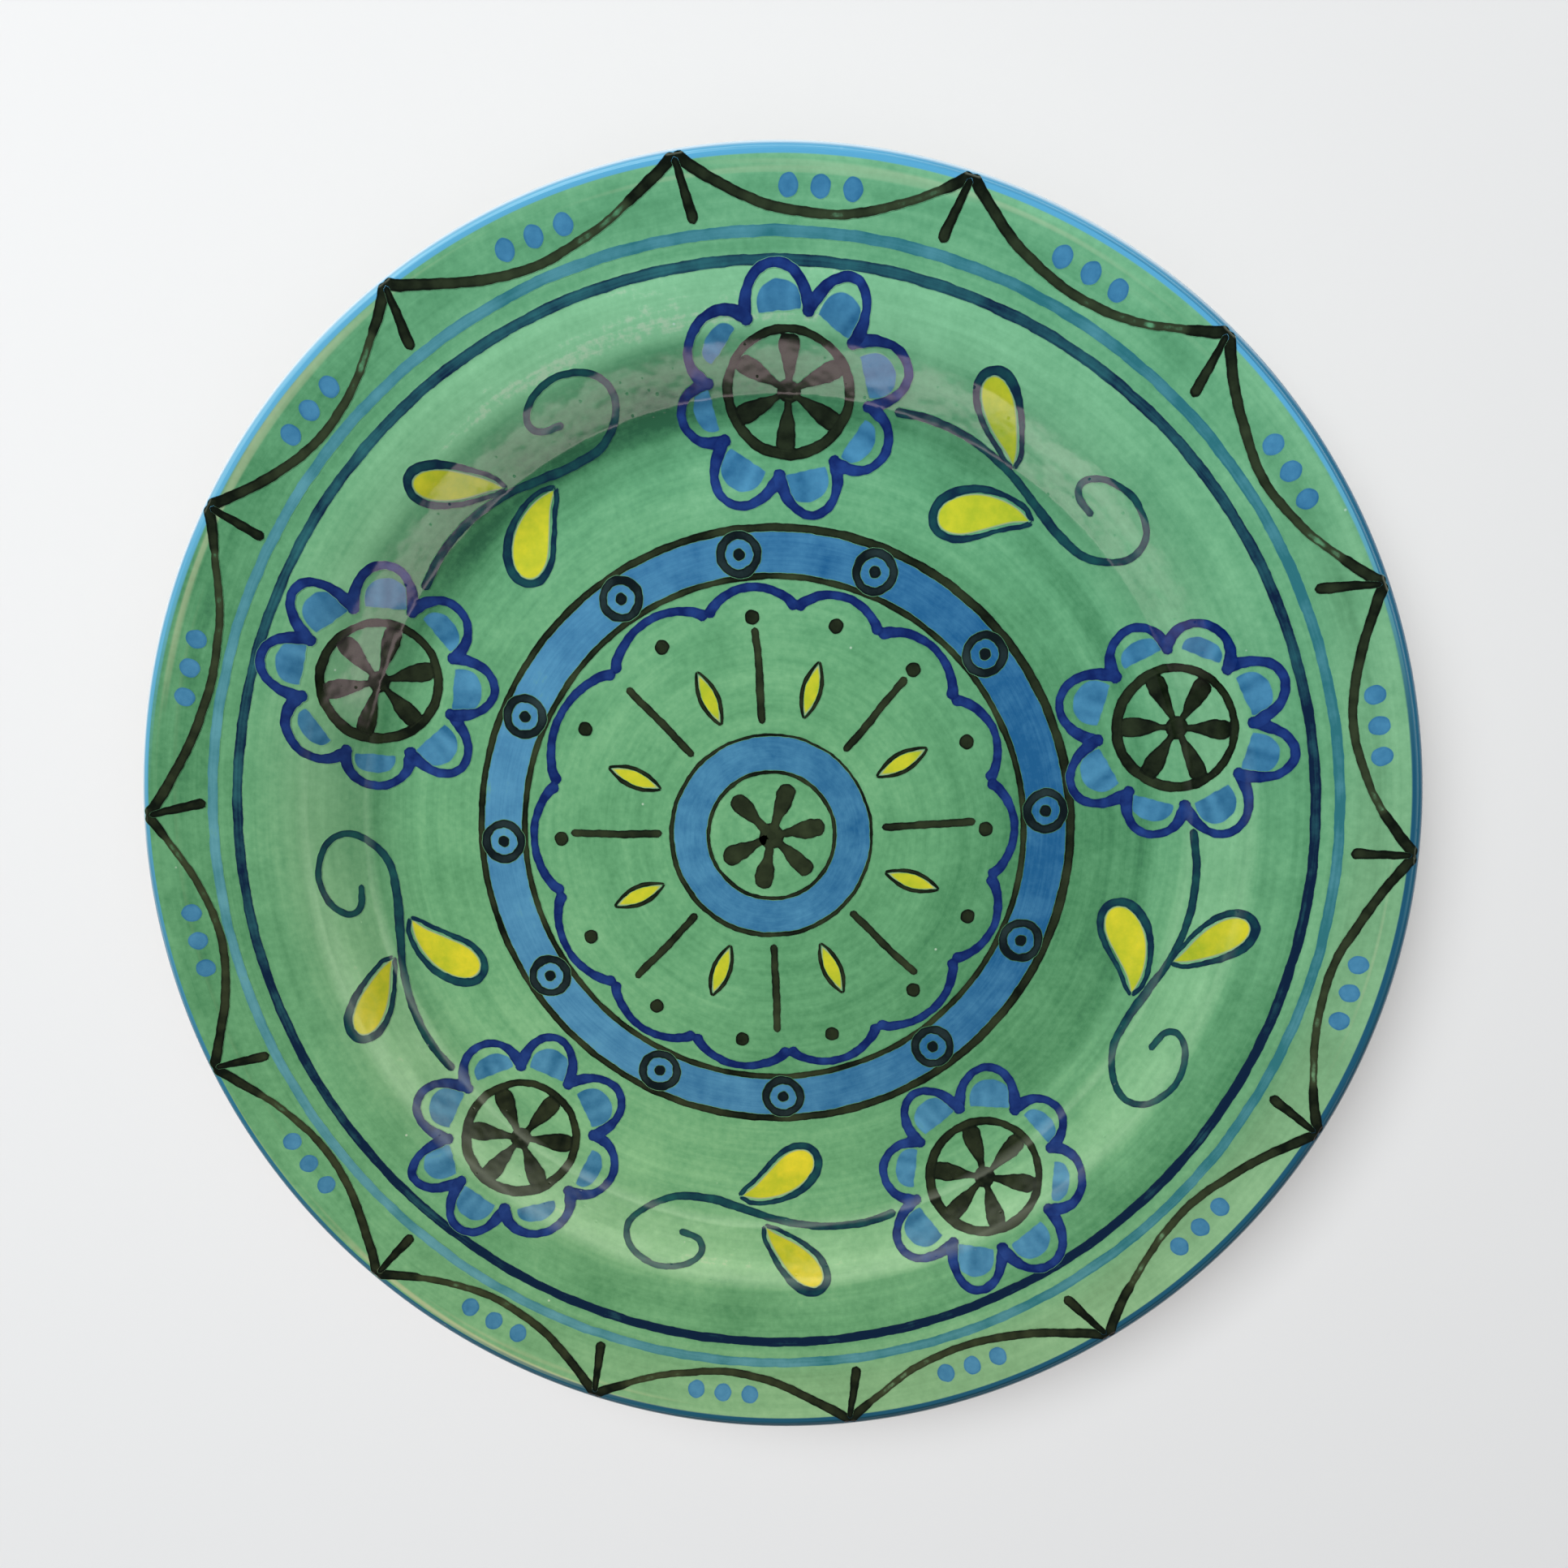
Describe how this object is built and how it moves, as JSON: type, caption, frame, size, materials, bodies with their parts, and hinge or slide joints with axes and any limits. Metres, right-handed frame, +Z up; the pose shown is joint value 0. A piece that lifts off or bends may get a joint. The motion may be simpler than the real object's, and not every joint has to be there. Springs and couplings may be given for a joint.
{
  "type": "hand painted ceramic plate",
  "caption": "Round glazed ceramic plate on a foot ring, with a deep well, a sloping flange and hand-painted swags, flowers, sprigs and a central medallion.",
  "frame": {"origin": "centre of the foot ring, in the plane that the plate rests on", "axes": "+Z up, out of the face; +Y from the centre towards the first flower; +X to its right"},
  "size_m": [0.28, 0.28, 0.0326],
  "materials": {
    "bare_clay": "unglazed biscuit, matt",
    "green_glaze": "brushed green under clear glaze, glossy, streaked round the wheel",
    "cream_glaze": "clear glaze on cream clay, glossy",
    "lip_blue": "blue brushed band under clear glaze, glossy",
    "brown_black": "brown-black brush line under clear glaze, glossy",
    "mid_blue": "mid blue wash under clear glaze, glossy",
    "pale_blue": "pale teal-blue line under clear glaze, glossy",
    "dark_blue": "dark blue line under clear glaze, glossy",
    "cobalt": "cobalt brush line under clear glaze, glossy",
    "vine_teal": "dark teal brush line under clear glaze, glossy",
    "eye_black": "blue-black brush line under clear glaze, glossy",
    "leaf_yellow": "lemon yellow under clear glaze, glossy"
  },
  "bodies": {
    "root": {"clay_body": "bare_clay", "face_glaze": "green_glaze", "back_glaze": "cream_glaze", "lip_band": "lip_blue", "rim_swags": "brown_black", "rim_ticks": "brown_black", "rim_dots": "mid_blue", "pale_blue_ring": "pale_blue", "dark_blue_ring": "dark_blue", "flower_1_outline": "cobalt", "flower_2_outline": "cobalt", "flower_3_outline": "cobalt", "flower_4_outline": "cobalt", "flower_5_outline": "cobalt", "flower_1_petals": "mid_blue", "flower_2_petals": "mid_blue", "flower_3_petals": "mid_blue", "flower_4_petals": "mid_blue", "flower_5_petals": "mid_blue", "flower_1_heart": "brown_black", "flower_2_heart": "brown_black", "flower_3_heart": "brown_black", "flower_4_heart": "brown_black", "flower_5_heart": "brown_black", "sprig_1_vine": "vine_teal", "sprig_2_vine": "vine_teal", "sprig_3_vine": "vine_teal", "sprig_4_vine": "vine_teal", "sprig_5_vine": "vine_teal", "sprig_1_leaves": "leaf_yellow", "sprig_2_leaves": "leaf_yellow", "sprig_3_leaves": "leaf_yellow", "sprig_4_leaves": "leaf_yellow", "sprig_5_leaves": "leaf_yellow", "medallion_band": "mid_blue", "medallion_lines": "brown_black", "medallion_eyes": "eye_black", "scalloped_line": "cobalt", "scallop_dots": "brown_black", "spokes": "brown_black", "seeds": "leaf_yellow", "seed_outlines": "brown_black", "centre_ring": "mid_blue", "centre_lines": "brown_black", "centre_flower": "brown_black"}
  },
  "joints": []
}
